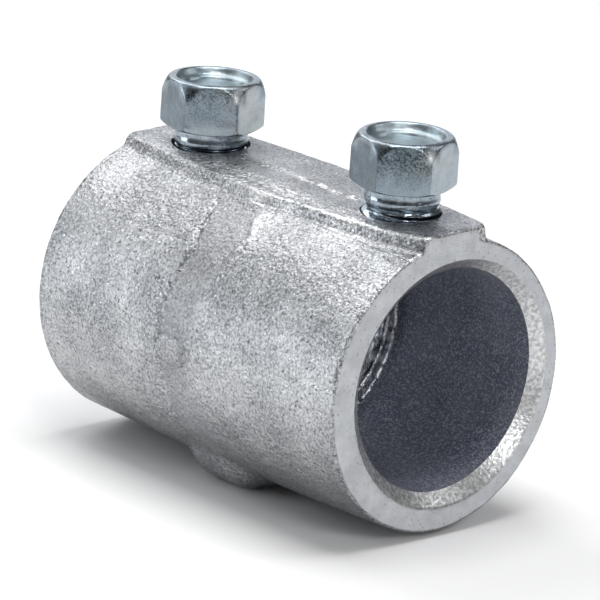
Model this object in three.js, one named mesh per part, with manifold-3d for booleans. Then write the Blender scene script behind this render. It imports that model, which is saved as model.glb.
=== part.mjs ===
// Set-screw coupling for 3/4 in rigid conduit: a cast body with a socket at each end and two hex-head
// set screws that clamp the conduits. Millimetres. X runs along the barrel, Z runs up along the screws,
// and the origin lies in the plane of the foot's sole, under mid-length of the barrel's axis.
import * as THREE from "three";
import { mergeVertices } from "three/addons/utils/BufferGeometryUtils.js";
import Module from "manifold-3d";

// ---------------------------------------------------------------- driving dimensions

// Body
const LENGTH = 54; // overall length along the bore, 2 1/8 in
const AXIS_HEIGHT = 18.5; // barrel's axis above the foot's flat sole
const MID_RADIUS = 18.2; // outside of the barrel at mid-length
const END_RADIUS = 17.75; // outside of the barrel at its end faces
const RIM_ROUND = 0.3; // broken corner between the barrel and an end face

// Bore
const SOCKET_RADIUS = 13.6; // clears the 26.7 mm outside diameter of the conduit
const LEAD_IN_RADIUS = 15.18; // mouth of the lead-in chamfer at the end face
const LEAD_IN_DEPTH = 1.27;
const STOP_RADIUS = 12; // crest of the ring that the conduits butt against
const STOP_FACE = 2.5; // distance of the ring's flat faces from mid-length
const STOP_FILLET = 0.5; // casting radius at the ring's foot and crest
const CORE_SHIFT_ACROSS = 0.8; // the core sat off the barrel's axis, so the front wall is the thicker
const CORE_SHIFT_UP = 0.2;

// Top pad
const PAD_TOP = 18.7; // height of the pad above the barrel's axis
const PAD_HALF_WIDTH = 7.6; // over the middle of the coupling
const PAD_END_HALF_WIDTH = 5.2; // where it runs out at the end faces
const PAD_TAPER = 18; // distance from mid-length that its curved sides aim at before narrowing
const PAD_EDGE_ROUND = 0.8;

// Foot
const FOOT_LENGTH = 13.4;
const FOOT_WIDTH = 22.4;
const FOOT_OFFSET = -0.8; // its middle lies a little towards the far end
const FOOT_CORNER = 4.5; // corner radius seen from below
const FOOT_EDGE_ROUND = 4;

// Set screws
const SCREW_SPACING = 34.4; // between the two screw axes
const NEAR_HEAD_HEIGHT = 22.1; // underside of the head above the barrel's axis
const FAR_HEAD_HEIGHT = 20.9;
const FLAT_TURN = THREE.MathUtils.degToRad(-42.26); // direction that one flat of each head faces
const FLATS = 6;
const ACROSS_FLATS = 11.11; // 7/16 in
const HEAD_HEIGHT = 6.2;
const HEAD_TOP_RADIUS = 5.6; // where the crowned corners meet the top face
const CROWN_DEPTH = 2.3; // how far the crowned corners reach down the flats' edges
const HEAD_FOOT_CHAMFER = 0.4;
const CROWN_SEGMENTS = 4;
const RECESS_RADIUS = 4.75;
const RECESS_DRAFT = 0.25; // how far the recess wall leans in on its way down
const RECESS_LEDGE_RADIUS = 4.1;
const RECESS_LEDGE_DEPTH = 0.9;
const RECESS_FLOOR_RADIUS = 3.6;
const RECESS_DEPTH = 1.3;
const NECK_RADIUS = 4.49;
const NECK_LENGTH = 2; // down to the first turn of thread
const NECK_RUN_OUT = 0.5; // cone between the neck and the first turn
const THREAD_RADIUS = 4.72; // 3/8-16 UNC crest
const THREAD_ROOT_RADIUS = 3.9;
const THREAD_PITCH = 1.5875;
const SHANK_LENGTH = 7.2; // from the underside of the head to the tip
const TIP_CHAMFER = 0.7;
const CREST_FLAT = THREAD_PITCH / 8;
const FLANK_SLOPE = Math.sqrt(3); // depth per run along the axis on a 60 degree thread
const HOLE_CLEARANCE = 0.25; // between the thread's crest and the wall of its hole

// Facets
const BARREL_SEGMENTS = 72;
const BARREL_STATIONS = 6; // along half the length
const FILLET_SEGMENTS = 3;
const PAD_SIDE_SEGMENTS = 8;
const FOOT_CORNER_SEGMENTS = 6;
const FOOT_ROUND_SEGMENTS = 5;
const HOLE_SEGMENTS = 48;
const HEAD_SEGMENTS = 60;
const THREAD_SEGMENTS = 40;
const STATIONS_PER_PITCH = 8;
const WELD = 1e-4; // vertices closer than this are one
const OVERRUN = 3; // how far a cutter runs past what it cuts

const HALF_LENGTH = LENGTH / 2;
const TAU = Math.PI * 2;

// ---------------------------------------------------------------- solids

const wasm = await Module();
wasm.setup();

function solidFrom(geometry) {
  const bare = geometry.clone();
  bare.deleteAttribute("normal");
  bare.deleteAttribute("uv");
  const welded = mergeVertices(bare, WELD);
  return new wasm.Manifold(
    new wasm.Mesh({
      numProp: 3,
      vertProperties: welded.attributes.position.array,
      triVerts: new Uint32Array(welded.index.array),
    }),
  );
}

function geometryFrom(solid) {
  const mesh = solid.getMesh();
  const geometry = new THREE.BufferGeometry();
  geometry.setAttribute("position", new THREE.BufferAttribute(mesh.vertProperties, mesh.numProp));
  geometry.setIndex(new THREE.BufferAttribute(mesh.triVerts, 1));
  geometry.computeVertexNormals();
  return geometry;
}

// A profile of (radius, distance along the axis) points turned about the X axis.
function turnedAboutX(profile, segments) {
  return new THREE.LatheGeometry(profile, segments).rotateZ(-Math.PI / 2);
}

// The same about a screw's own axis, with the distances going up.
function turnedAboutZ(profile, segments) {
  return new THREE.LatheGeometry(profile, segments).rotateX(Math.PI / 2);
}

// Points of a quarter arc from one angle to another, ends included.
function arcPoints(centreX, centreY, radius, from, to, segments) {
  const points = [];
  for (let i = 0; i <= segments; i += 1) {
    const angle = from + ((to - from) * i) / segments;
    points.push(
      new THREE.Vector2(centreX + radius * Math.cos(angle), centreY + radius * Math.sin(angle)),
    );
  }
  return points;
}

// The points, then the same points mirrored to the other end of the coupling.
function withMirrorImage(half) {
  const mirrored = half.map((point) => new THREE.Vector2(point.x, -point.y)).reverse();
  return [...mirrored, ...half.filter((point) => point.y > 0)];
}

// ---------------------------------------------------------------- body

// The outside swells a little towards mid-length, as the mould's draft makes it.
function barrelRadius(x) {
  const share = Math.abs(x) / HALF_LENGTH;
  return MID_RADIUS - (MID_RADIUS - END_RADIUS) * share * share;
}

function barrel() {
  const half = [];
  for (let i = 0; i <= BARREL_STATIONS; i += 1) {
    const x = ((HALF_LENGTH - RIM_ROUND) * i) / BARREL_STATIONS;
    half.push(new THREE.Vector2(barrelRadius(x), x));
  }
  half.push(new THREE.Vector2(END_RADIUS - RIM_ROUND, HALF_LENGTH));
  half.push(new THREE.Vector2(0, HALF_LENGTH));
  return solidFrom(turnedAboutX(withMirrorImage(half), BARREL_SEGMENTS));
}

// The flat strip that the screws stand in. It runs on past the end faces, which trim it square.
function topPad() {
  const far = HALF_LENGTH + OVERRUN;
  const outline = new THREE.Shape();
  outline.moveTo(-far, -PAD_END_HALF_WIDTH);
  outline.lineTo(-HALF_LENGTH, -PAD_END_HALF_WIDTH);
  outline.quadraticCurveTo(-PAD_TAPER, -PAD_HALF_WIDTH, 0, -PAD_HALF_WIDTH);
  outline.quadraticCurveTo(PAD_TAPER, -PAD_HALF_WIDTH, HALF_LENGTH, -PAD_END_HALF_WIDTH);
  outline.lineTo(far, -PAD_END_HALF_WIDTH);
  outline.lineTo(far, PAD_END_HALF_WIDTH);
  outline.lineTo(HALF_LENGTH, PAD_END_HALF_WIDTH);
  outline.quadraticCurveTo(PAD_TAPER, PAD_HALF_WIDTH, 0, PAD_HALF_WIDTH);
  outline.quadraticCurveTo(-PAD_TAPER, PAD_HALF_WIDTH, -HALF_LENGTH, PAD_END_HALF_WIDTH);
  outline.lineTo(-far, PAD_END_HALF_WIDTH);
  const root = SOCKET_RADIUS - OVERRUN;
  const pad = new THREE.ExtrudeGeometry(outline, {
    depth: PAD_TOP - root - 2 * PAD_EDGE_ROUND,
    curveSegments: PAD_SIDE_SEGMENTS,
    bevelThickness: PAD_EDGE_ROUND,
    bevelSize: PAD_EDGE_ROUND,
    bevelOffset: -PAD_EDGE_ROUND,
    bevelSegments: FILLET_SEGMENTS,
  });
  pad.translate(0, 0, root + PAD_EDGE_ROUND);
  return solidFrom(pad);
}

// A low pillow under mid-length with a flat sole.
function foot() {
  const x = FOOT_LENGTH / 2;
  const y = FOOT_WIDTH / 2;
  const outline = new THREE.Shape();
  outline.absarc(x - FOOT_CORNER, y - FOOT_CORNER, FOOT_CORNER, 0, TAU / 4);
  outline.absarc(FOOT_CORNER - x, y - FOOT_CORNER, FOOT_CORNER, TAU / 4, TAU / 2);
  outline.absarc(FOOT_CORNER - x, FOOT_CORNER - y, FOOT_CORNER, TAU / 2, (3 * TAU) / 4);
  outline.absarc(x - FOOT_CORNER, FOOT_CORNER - y, FOOT_CORNER, (3 * TAU) / 4, TAU);
  outline.closePath();
  const pillow = new THREE.ExtrudeGeometry(outline, {
    depth: AXIS_HEIGHT - 2 * FOOT_EDGE_ROUND,
    curveSegments: FOOT_CORNER_SEGMENTS,
    bevelThickness: FOOT_EDGE_ROUND,
    bevelSize: FOOT_EDGE_ROUND,
    bevelOffset: -FOOT_EDGE_ROUND,
    bevelSegments: FOOT_ROUND_SEGMENTS,
  });
  pillow.translate(FOOT_OFFSET, 0, FOOT_EDGE_ROUND - AXIS_HEIGHT);
  return solidFrom(pillow);
}

// What the core leaves open: two sockets with lead-in chamfers, and the waist inside the stop ring.
function boreSpace() {
  const crestCentre = STOP_FACE - STOP_FILLET;
  const half = [
    new THREE.Vector2(STOP_RADIUS, 0),
    ...arcPoints(STOP_RADIUS + STOP_FILLET, crestCentre, STOP_FILLET, TAU / 2, TAU / 4, FILLET_SEGMENTS),
    ...arcPoints(
      SOCKET_RADIUS - STOP_FILLET,
      STOP_FACE + STOP_FILLET,
      STOP_FILLET,
      -TAU / 4,
      0,
      FILLET_SEGMENTS,
    ),
    new THREE.Vector2(SOCKET_RADIUS, HALF_LENGTH - LEAD_IN_DEPTH),
    new THREE.Vector2(LEAD_IN_RADIUS, HALF_LENGTH),
    new THREE.Vector2(LEAD_IN_RADIUS, HALF_LENGTH + OVERRUN),
    new THREE.Vector2(0, HALF_LENGTH + OVERRUN),
  ];
  const space = turnedAboutX(withMirrorImage(half), BARREL_SEGMENTS);
  return solidFrom(space.translate(0, CORE_SHIFT_ACROSS, CORE_SHIFT_UP));
}

function screwHole(x) {
  const depth = PAD_TOP - SOCKET_RADIUS + 2 * OVERRUN;
  const radius = THREAD_RADIUS + HOLE_CLEARANCE;
  const hole = new THREE.CylinderGeometry(radius, radius, depth, HOLE_SEGMENTS).rotateX(TAU / 4);
  hole.translate(x, 0, (PAD_TOP + SOCKET_RADIUS) / 2);
  return solidFrom(hole);
}

function couplingBody() {
  const across = 4 * MID_RADIUS;
  const endFaces = solidFrom(new THREE.BoxGeometry(LENGTH, across, across));
  const casting = barrel().add(topPad()).add(foot()).intersect(endFaces);
  return casting
    .subtract(boreSpace())
    .subtract(screwHole(SCREW_SPACING / 2))
    .subtract(screwHole(-SCREW_SPACING / 2));
}

// ---------------------------------------------------------------- set screw
// Its own origin is on its axis at the underside of the head.

function hexPrism() {
  const corner = ACROSS_FLATS / Math.sqrt(3);
  const prism = new THREE.CylinderGeometry(corner, corner, HEAD_HEIGHT, FLATS).rotateX(TAU / 4);
  prism.translate(0, 0, HEAD_HEIGHT / 2);
  return solidFrom(prism);
}

// The round form that crowns the hexagon's corners above and breaks them below.
function headBlank() {
  const corner = ACROSS_FLATS / Math.sqrt(3);
  const crown = new THREE.QuadraticBezierCurve(
    new THREE.Vector2(corner, HEAD_HEIGHT - CROWN_DEPTH),
    new THREE.Vector2(corner, HEAD_HEIGHT - CROWN_DEPTH / 2),
    new THREE.Vector2(HEAD_TOP_RADIUS, HEAD_HEIGHT),
  );
  const profile = [
    new THREE.Vector2(0, 0),
    new THREE.Vector2(corner - HEAD_FOOT_CHAMFER, 0),
    new THREE.Vector2(corner, HEAD_FOOT_CHAMFER),
    ...crown.getPoints(CROWN_SEGMENTS),
    new THREE.Vector2(0, HEAD_HEIGHT),
  ];
  return solidFrom(turnedAboutZ(profile, HEAD_SEGMENTS));
}

// The stepped round dish pressed into the top of the head.
function headRecess() {
  const profile = [
    new THREE.Vector2(0, HEAD_HEIGHT - RECESS_DEPTH),
    new THREE.Vector2(RECESS_FLOOR_RADIUS, HEAD_HEIGHT - RECESS_DEPTH),
    new THREE.Vector2(RECESS_LEDGE_RADIUS, HEAD_HEIGHT - RECESS_LEDGE_DEPTH),
    new THREE.Vector2(RECESS_RADIUS - RECESS_DRAFT, HEAD_HEIGHT - RECESS_LEDGE_DEPTH),
    new THREE.Vector2(RECESS_RADIUS, HEAD_HEIGHT),
    new THREE.Vector2(RECESS_RADIUS, HEAD_HEIGHT + OVERRUN),
    new THREE.Vector2(0, HEAD_HEIGHT + OVERRUN),
  ];
  return solidFrom(turnedAboutZ(profile, HEAD_SEGMENTS));
}

// Radius of the threaded stretch at a height and an angle: a 60 degree right-hand thread cut short at
// crest and root, and chamfered away at the tip.
function threadRadius(z, angle) {
  const turns = (z + SHANK_LENGTH) / THREAD_PITCH - angle / TAU;
  const fromCrest = Math.abs(turns - Math.round(turns)) * THREAD_PITCH;
  const cut = THREE.MathUtils.clamp(
    (fromCrest - CREST_FLAT / 2) * FLANK_SLOPE,
    0,
    THREAD_RADIUS - THREAD_ROOT_RADIUS,
  );
  const tipLimit = THREAD_RADIUS - Math.max(0, TIP_CHAMFER - (z + SHANK_LENGTH));
  return Math.min(THREAD_RADIUS - cut, tipLimit);
}

function shank() {
  const stations = Math.round(((SHANK_LENGTH - NECK_LENGTH) / THREAD_PITCH) * STATIONS_PER_PITCH);
  const profile = [new THREE.Vector2(0, -SHANK_LENGTH)];
  for (let i = 0; i <= stations; i += 1) {
    const z = -SHANK_LENGTH + ((SHANK_LENGTH - NECK_LENGTH) * i) / stations;
    profile.push(new THREE.Vector2(THREAD_RADIUS, z));
  }
  profile.push(new THREE.Vector2(NECK_RADIUS, NECK_RUN_OUT - NECK_LENGTH));
  profile.push(new THREE.Vector2(NECK_RADIUS, HEAD_HEIGHT / 2));
  profile.push(new THREE.Vector2(0, HEAD_HEIGHT / 2));
  const geometry = turnedAboutZ(profile, THREAD_SEGMENTS);
  const position = geometry.attributes.position;
  const point = new THREE.Vector3();
  for (let i = 0; i < position.count; i += 1) {
    point.fromBufferAttribute(position, i);
    const across = Math.hypot(point.x, point.y);
    if (across > NECK_RADIUS + WELD) {
      const scale = threadRadius(point.z, Math.atan2(point.y, point.x)) / across;
      position.setXYZ(i, point.x * scale, point.y * scale, point.z);
    }
  }
  return solidFrom(geometry);
}

function setScrew() {
  const head = hexPrism().intersect(headBlank()).subtract(headRecess());
  return head.add(shank());
}

// ---------------------------------------------------------------- assembly

const castZinc = new THREE.MeshStandardMaterial({ color: 0xb9bcc0, roughness: 0.55, metalness: 0.8 });
const plate = { color: 0xa9b6bd, roughness: 0.25, metalness: 1 };

function addPiece(parent, name, solid, material) {
  const mesh = new THREE.Mesh(geometryFrom(solid), material);
  mesh.name = name;
  parent.add(mesh);
  return mesh;
}

function placeScrew(parent, name, x, height) {
  const screw = addPiece(parent, name, setScrew(), new THREE.MeshStandardMaterial(plate));
  screw.position.set(x, 0, height);
  screw.rotation.z = FLAT_TURN;
}

const coupling = new THREE.Group();
const aboutAxis = new THREE.Group();
aboutAxis.position.z = AXIS_HEIGHT;
coupling.add(aboutAxis);
addPiece(aboutAxis, "coupling_body", couplingBody(), castZinc);
placeScrew(aboutAxis, "near_set_screw", SCREW_SPACING / 2, NEAR_HEAD_HEIGHT);
placeScrew(aboutAxis, "far_set_screw", -SCREW_SPACING / 2, FAR_HEAD_HEIGHT);

export default coupling;
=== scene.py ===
"""Looks for a set-screw conduit coupling: a rough galvanised casting and two plated screws.

Sizes are millimetres in the script and metres in Blender. X runs along the bore, towards the near
end, and Z up along the screws. The front is at -Y. Points are worked out round the barrel's axis,
AXIS_HEIGHT above the sole, and lifted when a mesh is made.
"""

import itertools
import math

import bpy
import numpy as np
from mathutils import Matrix, Vector


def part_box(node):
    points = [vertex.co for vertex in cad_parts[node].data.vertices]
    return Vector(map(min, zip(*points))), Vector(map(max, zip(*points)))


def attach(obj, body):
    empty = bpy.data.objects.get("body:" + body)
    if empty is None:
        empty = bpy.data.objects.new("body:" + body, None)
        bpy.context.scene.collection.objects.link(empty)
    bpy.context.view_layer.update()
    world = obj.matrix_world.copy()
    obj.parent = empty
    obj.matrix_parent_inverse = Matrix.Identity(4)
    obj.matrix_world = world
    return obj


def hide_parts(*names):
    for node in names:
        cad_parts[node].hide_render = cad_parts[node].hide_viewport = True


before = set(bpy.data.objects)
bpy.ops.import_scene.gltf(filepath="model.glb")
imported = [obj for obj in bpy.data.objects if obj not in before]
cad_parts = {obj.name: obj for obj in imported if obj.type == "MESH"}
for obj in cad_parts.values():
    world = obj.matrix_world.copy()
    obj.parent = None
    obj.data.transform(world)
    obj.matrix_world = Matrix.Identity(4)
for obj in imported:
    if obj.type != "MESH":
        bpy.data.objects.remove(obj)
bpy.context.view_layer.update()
MM = 0.001
TAU = 2 * math.pi

# ---------------------------------------------------------------- dimensions

# Body: the CAD's sizes, refined where the photo shows more than the CAD's solids hold
HALF_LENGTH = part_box("coupling_body")[1].x / MM
AXIS_HEIGHT = 18.5
MID_RADIUS = 18.2
END_RADIUS = 17.75
RIM_ROUND = 0.3
SOCKET_RADIUS = 13.6
LEAD_IN_RADIUS = 15.18
LEAD_IN_DEPTH = 1.27
STOP_RADIUS = 12.0
STOP_FACE = 2.5
STOP_FILLET = 0.5
MOUTH_SHIFT = (0.8, 0.07)  # of the mouth's middle from the barrel's axis, along Y and Z
BORE_SHIFT = (0.82, 0.34)  # of the bore's
HOLE_RADIUS = 4.84
HOLE_CUT = (9.0, 24.0)  # heights that the cutter of a tapped hole runs between

# Pad along the top
PAD_HALF_WIDTH = 7.1
PAD_END_NARROWING = 1.9
PAD_TAPER_START = 9.0
PAD_SHOULDER = 0.5  # the front edge swells over the seam
PAD_SHOULDER_PLACE = 1.0
PAD_SHOULDER_REACH = 3.2
PAD_TOP = 18.75  # of the front mould half
PAD_STEP = 0.15  # the back mould half stands this much higher
PAD_STEP_EDGES = (-1.6, -0.8)
PAD_FAR_DROP = 0.35
PAD_FAR_DROP_RUN = 8
PAD_FRONT_FALL = 0.7  # how far the top slopes away to its front edge
PAD_FRONT_SLOPE = (3.6, 6.9)
PAD_EDGE_ROUND = 0.7
PAD_CORNER_ROUND = 1.7
PAD_FRONT_CORNER = 0.25  # the near front corner's share of that
PAD_FILLET_BACK = 0.35
PAD_FILLET_FRONT = 0.95
PAD_FILLET_SWELL = 1.3  # how much wider the front fillet is over the seam
PAD_FILLET_PLACE = -0.3
PAD_FILLET_REACH = 3.6
PAD_SIDE_HEIGHT = 66  # degrees above the axis where the pad's sides stand

# Foot
FOOT_HALF = (6.7, 11.2)
FOOT_OFFSET = -0.8
FOOT_CORNER = 4.5
FOOT_EDGE_ROUND = 4.0
FOOT_FILLET = 1.2

# The seam where the two ends of the pattern meet runs round mid-length as a shallow step. Its two
# edges wander along X with the height round the barrel, in degrees above the axis. A pair of sizes
# is the size low on the flank, and what is added to it high up.
SEAM_HEIGHTS = (-60, -45, -30, -15, 0, 15, 37, 50, 66)
SEAM_FAR_EDGE = (-6.0, -4.6, -3.6, -3.8, -4.7, -4.5, -3.1, -4.2, -5.9)
SEAM_NEAR_EDGE = (9.0, 8.4, 5.7, 3.0, 2.5, 3.1, 3.4, 4.2, 1.6)
SEAM_WANDER = 0.35
SEAM_START = (-62, -40)
SEAM_END = (57, 65)
SEAM_HIGH_UP = (25, 45)
SEAM_DEPTH = 0.26
SEAM_RISE = 0.6  # share of the depth that is lost towards the near edge
SEAM_EDGE = (0.9, -0.6)
CREVICE_DEPTH = (0.03, 0.22)
CREVICE = (0.2, 0.28)  # place past the far edge, and width
RIDGE_HEIGHT = (0.05, 0.15)
RIDGE = (-0.15, 0.45)
# Painted shade in the seam's crack, as a pair of sizes, then the crack's place past the far edge
# and its width
CRACK_SHADE = (0.04, 0.6)
CRACK = (0.12, 0.24)
LOW_CRACK_SHADE = 0.25
LOW_CRACK = (6, 7)  # height of the crack's stretch of stronger painted shade by the plaque, and its spread, in degrees

# Smaller marks of the casting
PLAQUE = (-1.7, -0.5, 2.3, 1.7)  # middle along X and Z, then half sizes along X and Z
PLAQUE_HEIGHT = 0.17
MOAT_DEPTH = 0.1
MOAT = (1.1, 0.1)  # place and width, in half sizes of the plaque
PARTING_HEIGHT = 0.22
PARTING_PLACE = 1.2  # towards the front from the pad's middle
PARTING_WIDTH = 0.4
GROOVE_DEPTH = 0.03
GROOVE_WIDTH = 0.3
RIM_LINE = (-0.65, 0.35)  # painted highlight line inside the pad's front side: place and width
# Depth, size and seed of each part of the skin's roughness
SKIN_NOISE = ((0.07, 9.0, 11), (0.045, 3.4, 12), (0.035, 1.5, 13), (0.055, 0.85, 14))
EDGE_WOBBLE = 0.07  # of an end face's rim
EDGE_NOISE_RADIUS = 18.0  # where the noise of that wobble is read
# Masks that the casting's material reads: crack brings painted shade and nicks of wear, bright
# painted highlights
MASKS = ("seam", "smooth", "crack", "bright")

# Screws: the CAD's sizes, with the crown and the underside of the head refined
SCREW_REACH = 17.2  # from mid-length to each screw's axis
NEAR_HEAD_HEIGHT = 22.1
FAR_HEAD_HEIGHT = 20.9
NEAR_LEAN = math.radians(0.8)
FAR_LEAN = math.radians(-0.5)
FLAT_TURN = math.radians(-42.26)
ACROSS_FLATS = 11.11
HEX_CORNER_BREAK = 0.055
HEAD_HEIGHT = 6.2
HEAD_TOP_RADIUS = 5.15
CROWN_DEPTH = 2.3
CROWN_CURVE = 2.3
HEAD_FOOT_RADIUS = 5.45  # where the underside begins to rise towards the corners
HEAD_FOOT_RISE = 0.45
RECESS_RADIUS = 4.75
RECESS_DRAFT = 0.25
RECESS_LEDGE_RADIUS = 4.1
RECESS_LEDGE_DEPTH = 0.9
RECESS_FLOOR_RADIUS = 3.6
RECESS_DEPTH = 1.3
NECK_RADIUS = 4.49
NECK_LENGTH = 2.0
NECK_BULGE = 0.13
THREAD_RADIUS = 4.72
THREAD_ROOT_RADIUS = 3.9
THREAD_PITCH = 1.5875
THREAD_RUN_IN = 0.93  # radius of the first turn's beginning, as a share of the crest's
SHANK_LENGTH = 7.2
TIP_CHAMFER = 0.7
TIP_SLOPE = 1.15

# Facets
AROUND = 392
ALONG = 158
SEAM_CROWDING = 1.3  # rows lie closer together at the seam than at the ends
LEDGE_ANGLE = 20.5  # degrees from the top, where the pad's sides stand up
LEDGE_SPREAD = 5.0
LEDGE_CROWDING = 2.5  # columns lie this many times closer together there, beyond the plain spacing
CHAMFER_STEPS = 5
SOCKET_STEPS = 22
FILLET_STEPS = 3
FACE_RINGS = 7
RIM_RINGS = 2
HOLE_COLUMNS = 96
SCREW_SECTOR = 30  # columns in a sixth of a turn
THREAD_STEPS = 58
SHARP_ANGLE = math.radians(38)
BISECTIONS = 24
RADIUS_LIMITS = (10.0, 30.0)
FAR_AWAY = 100.0
SLIVER = 1e-6

# Material numbers of the casting and of a screw
CAST, FACE, MOUTH, BORE, TAPPED, STOP = range(6)
PLATED, RECESS, NECK = range(3)


# ---------------------------------------------------------------- numbers


def lattice_noise(points, size, seed):
    """Smooth noise from -1 to 1 at each point, with features of the given size."""
    scaled = points / size
    cell = np.floor(scaled)
    part = scaled - cell
    part = part * part * (3 - 2 * part)
    total = np.zeros(points.shape[:-1])
    for corner in itertools.product((0, 1), repeat=3):
        weight = np.prod(np.where(corner, part, 1 - part), axis=-1)
        total += weight * hashed(cell + corner, seed)
    return total


def hashed(cell, seed):
    """A repeatable value from -1 to 1 for each whole-number point."""
    mixed = cell.astype(np.int64) @ np.array([73856093, 19349663, 83492791]) + seed * 374761393
    mixed = (mixed ^ (mixed >> 13)) * 1274126177 & 0xFFFFFFFF
    mixed = (mixed ^ (mixed >> 16)) * 668265263 & 0xFFFFFFFF
    return (mixed & 0xFFFF) / 0x7FFF - 1


def smooth_step(low, high, value):
    share = np.clip((value - low) / (high - low), 0, 1)
    return share * share * (3 - 2 * share)


def smooth_min(a, b, width):
    share = np.clip(0.5 + 0.5 * (b - a) / width, 0, 1)
    return b + (a - b) * share - width * share * (1 - share)


def bell(value, middle, width):
    """1 at the middle, falling away smoothly on both sides."""
    return np.exp(-(((value - middle) / width) ** 2))


def rounded_box(across, up, rounding):
    """Distance outside a quarter-plane whose two sides meet in a round corner."""
    a, b = across + rounding, up + rounding
    outside = np.hypot(np.maximum(a, 0), np.maximum(b, 0))
    return outside + np.minimum(np.maximum(a, b), 0) - rounding


# ---------------------------------------------------------------- casting


def barrel_radius(x):
    return MID_RADIUS - (MID_RADIUS - END_RADIUS) * (x / HALF_LENGTH) ** 2


def pad_half_width(x, y):
    """Wide over the screws, narrow at the end faces, with the near back corner rounded off."""
    # How far along the parabola of the pad's side a place is, from 0 at mid-length to 1
    run = 2 - np.sqrt(4 - np.minimum(np.abs(x), HALF_LENGTH) / PAD_TAPER_START)
    width = PAD_HALF_WIDTH - PAD_END_NARROWING * run * run
    width = width + PAD_SHOULDER * bell(x, PAD_SHOULDER_PLACE, PAD_SHOULDER_REACH) * (y < 0)
    into = np.clip((x - HALF_LENGTH) / PAD_CORNER_ROUND + 1, 0, 1)
    corner = PAD_CORNER_ROUND * (1 - np.sqrt(1 - into * into))
    return width - np.where(y > 0, corner, PAD_FRONT_CORNER * corner)


def pad_field(x, y, z):
    """Below zero inside the pad."""
    drop = PAD_FAR_DROP * smooth_step(HALF_LENGTH - PAD_FAR_DROP_RUN, HALF_LENGTH, -x)
    top = PAD_TOP + PAD_STEP * smooth_step(*PAD_STEP_EDGES, y) - drop
    top = top - PAD_FRONT_FALL * smooth_step(*PAD_FRONT_SLOPE, -y)
    field = rounded_box(np.abs(y) - pad_half_width(x, y), z - top, PAD_EDGE_ROUND)
    return np.where(z > 0, field, FAR_AWAY)


def foot_field(x, y, z):
    """Below zero inside the foot."""
    side = rounded_box(
        np.abs(x - FOOT_OFFSET) - FOOT_HALF[0], np.abs(y) - FOOT_HALF[1], FOOT_CORNER
    )
    return np.where(z < 0, rounded_box(side, -z - AXIS_HEIGHT, FOOT_EDGE_ROUND), FAR_AWAY)


def casting_field(x, y, z):
    """Below zero inside the casting, before its surface detail."""
    barrel = np.hypot(y, z) - barrel_radius(x)
    front = PAD_FILLET_FRONT + PAD_FILLET_SWELL * bell(x, PAD_FILLET_PLACE, PAD_FILLET_REACH)
    body = smooth_min(barrel, pad_field(x, y, z), np.where(y < 0, front, PAD_FILLET_BACK))
    return smooth_min(body, foot_field(x, y, z), FOOT_FILLET)


def casting_radius(x, turn):
    """Distance from the barrel's axis to the casting's outside, by bisection along each ray."""
    low = np.full(x.shape, RADIUS_LIMITS[0])
    high = np.full(x.shape, RADIUS_LIMITS[1])
    for _ in range(BISECTIONS):
        middle = (low + high) / 2
        inside = casting_field(x, middle * np.sin(turn), middle * np.cos(turn)) < 0
        low = np.where(inside, middle, low)
        high = np.where(inside, high, middle)
    return (low + high) / 2


def seam_marks(x, height, wander):
    """The seam's relief, then masks of its crack, which takes painted shade, of the dull band that
    it encloses and of its ridge, which takes a painted highlight."""
    far_edge = np.interp(height, SEAM_HEIGHTS, SEAM_FAR_EDGE) + wander
    near_edge = np.interp(height, SEAM_HEIGHTS, SEAM_NEAR_EDGE) + wander
    past_far, to_near = x - far_edge, near_edge - x
    fade = smooth_step(*SEAM_START, height) * (1 - smooth_step(*SEAM_END, height))
    high_up = smooth_step(*SEAM_HIGH_UP, height)

    def sized(pair):
        return pair[0] + pair[1] * high_up

    share = np.clip(past_far / (near_edge - far_edge), 0, 1)
    within = smooth_step(0, sized(SEAM_EDGE), past_far) * smooth_step(0, SEAM_EDGE[0], to_near)
    ridge = bell(to_near, *RIDGE)
    relief = -SEAM_DEPTH * within * (1 - SEAM_RISE * share)
    relief = relief - sized(CREVICE_DEPTH) * bell(past_far, *CREVICE)
    relief += sized(RIDGE_HEIGHT) * ridge
    crack_shade = sized(CRACK_SHADE) + LOW_CRACK_SHADE * bell(height, *LOW_CRACK)
    crack = fade * crack_shade * bell(past_far, *CRACK)
    dull = fade * smooth_step(0, 1.6, past_far) * smooth_step(-0.2, 2.4, to_near)
    return fade * relief, crack, dull, fade * ridge


def plaque_marks(points, wander):
    """Masks of the small oval plaque on the front flank and of the moat round it."""
    x, y, z = np.moveaxis(points, -1, 0)
    along = np.abs(x - PLAQUE[0]) / PLAQUE[2]
    across = np.abs(z - PLAQUE[1]) / PLAQUE[3]
    reach = (along**4 + across**4) ** 0.25 + 0.08 * wander
    plaque = (1 - smooth_step(0.8, 1.02, reach)) * (y < 0)
    moat = bell(reach, *MOAT) * (y < 0)
    return plaque, moat * np.clip(0.6 + lattice_noise(points, 0.9, seed=7), 0, 1)


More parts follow.
